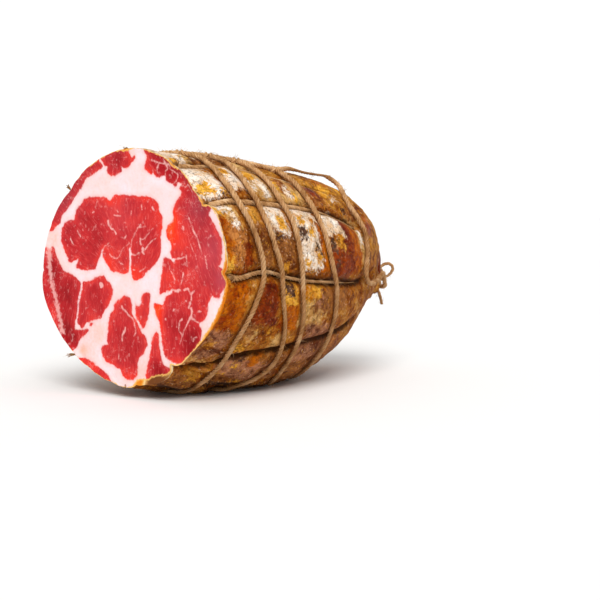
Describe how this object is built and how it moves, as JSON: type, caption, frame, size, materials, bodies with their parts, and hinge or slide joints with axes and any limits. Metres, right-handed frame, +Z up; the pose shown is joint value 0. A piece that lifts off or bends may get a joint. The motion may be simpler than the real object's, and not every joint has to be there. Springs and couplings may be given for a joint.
{
  "type": "coppa",
  "caption": "Cured pork neck log in a natural casing, its marbled meat bare at the cut end, bound with hitched jute twine that ends in a knot and bow at the gathered tail.",
  "frame": {"origin": "middle of the flat spot that the log rests on", "axes": "+X from the cut face to the gathered tail, +Z up, -Y the side that the picture shows"},
  "size_m": [0.1729, 0.1182, 0.1106],
  "materials": {
    "cured_meat": "dried casing, satin, with pale bloom; moist cut face",
    "jute_twine": "matte, hairy"
  },
  "bodies": {
    "root": {"meat_log": "cured_meat", "net_twine": "jute_twine", "string_near_middle": "jute_twine", "string_near_upper": "jute_twine", "string_near_high": "jute_twine", "string_far_high": "jute_twine", "string_far_middle": "jute_twine", "string_far_low": "jute_twine", "string_underside_stub": "jute_twine"}
  },
  "joints": []
}
